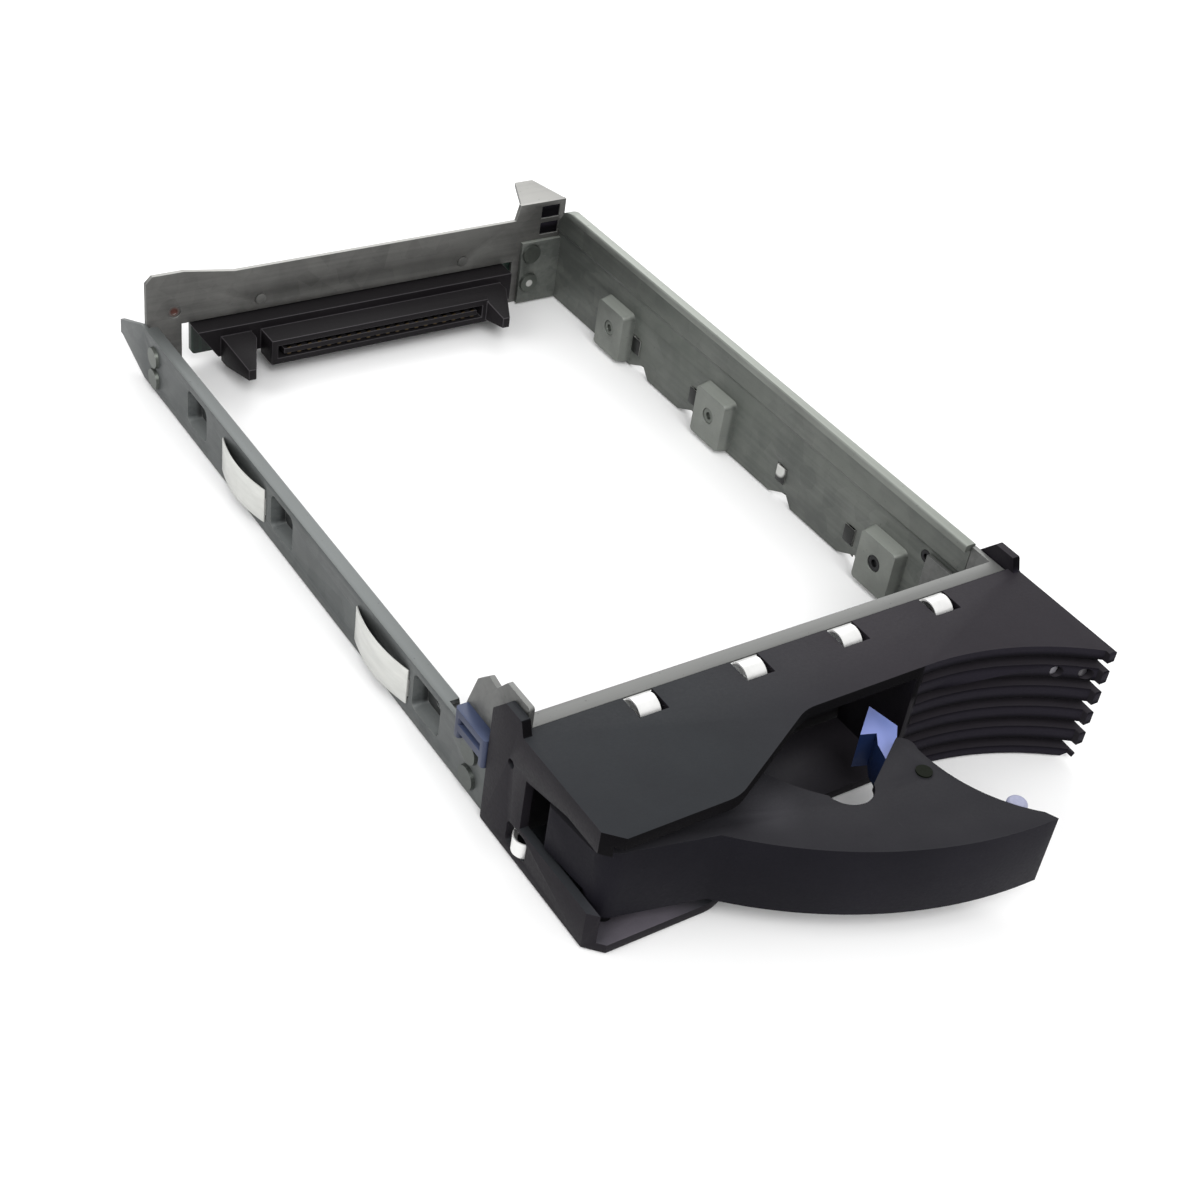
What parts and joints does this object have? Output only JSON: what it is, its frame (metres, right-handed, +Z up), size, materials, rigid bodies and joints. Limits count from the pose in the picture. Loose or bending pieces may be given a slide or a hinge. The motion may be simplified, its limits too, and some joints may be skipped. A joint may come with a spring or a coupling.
{
  "type": "hot swap drive caddy",
  "caption": "Open sheet metal tray for a 3.5 inch drive, with a louvred black bezel, a swinging cam handle with a blue catch, and a rear connector.",
  "frame": {"origin": "on the centre line at the bezel's front edge, in the plane that the tray stands on", "axes": "+Y from the bezel to the plug end, the way the caddy slides in, +Z up, +X to the right seen from the front"},
  "size_m": [0.1138, 0.2265, 0.0306],
  "materials": {
    "galvanised_steel": "satin zinc",
    "spring_steel": "bright",
    "rivet_metal": "satin",
    "black_plastic": "fine grain",
    "handle_plastic": "fine grain",
    "blue_plastic": "smooth",
    "connector_plastic": "smooth",
    "contact_metal": "gold plated",
    "board": "solder mask",
    "pin_steel": "bright",
    "light_pipe": "clear"
  },
  "bodies": {
    "chassis": {"left_rail": "galvanised_steel", "right_rail": "galvanised_steel", "rear_panel": "galvanised_steel", "window_insert": "black_plastic", "front_wall": "galvanised_steel", "rear_rivets": "rivet_metal", "front_rivets": "rivet_metal", "bezel": "black_plastic", "top_grounding_strip": "spring_steel", "left_grounding_finger": "spring_steel", "right_grounding_finger": "spring_steel", "left_rear_spring": "spring_steel", "left_front_spring": "spring_steel", "right_rear_spring": "spring_steel", "right_front_spring": "spring_steel", "rail_clip": "blue_plastic", "activity_light_pipe": "light_pipe", "fault_light_pipe": "light_pipe", "handle_pivot_pin": "pin_steel", "interposer_board": "board", "board_screws": "pin_steel", "drive_connector": "connector_plastic", "drive_contacts": "contact_metal", "backplane_connector": "connector_plastic", "backplane_contacts": "contact_metal"},
    "handle": {"handle": "handle_plastic", "latch_pin": "pin_steel", "latch_spring": "spring_steel"},
    "latch": {"latch_lever": "blue_plastic"}
  },
  "joints": [
    {"name": "handle_hinge", "type": "hinge", "parent": "chassis", "child": "handle", "pos_m": [-0.05, 0.006, 0.013], "axis": [0, 0, 1], "range_deg": [0, 21]},
    {"name": "latch_hinge", "type": "hinge", "parent": "handle", "child": "latch", "pos_m": [0.0064, -0.0045, 0.013], "axis": [0, 0, 1], "range_deg": [-6, 0], "stiffness_Nm_per_rad": 0.03}
  ]
}
